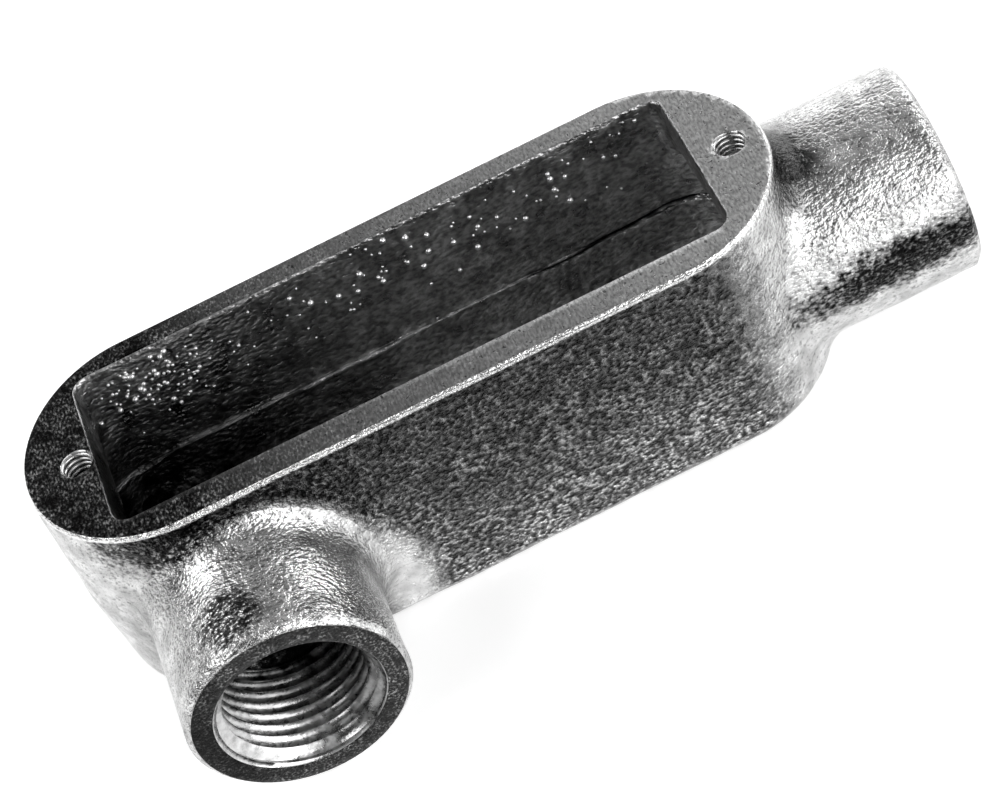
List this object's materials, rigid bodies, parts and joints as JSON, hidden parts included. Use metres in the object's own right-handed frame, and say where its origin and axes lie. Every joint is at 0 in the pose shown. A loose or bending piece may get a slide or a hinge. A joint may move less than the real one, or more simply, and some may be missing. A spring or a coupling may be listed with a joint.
{
  "type": "conduit body",
  "caption": "Elongated cast iron conduit body: flat-rimmed cover opening on top, threaded hub at the end, threaded side hub near the other end, and tapped lugs for cover screws.",
  "frame": {"origin": "on the flat back, under the middle of the cover rim", "axes": "+Z out of the cover opening, +X along the body towards the end hub, -Y out of the side hub"},
  "size_m": [0.1184, 0.0514, 0.033],
  "materials": {
    "plated_iron": "bright zinc plate over an as-cast skin, with the rim, hub faces and threads machined"
  },
  "bodies": {
    "root": {"body_casting": "plated_iron"}
  },
  "joints": []
}
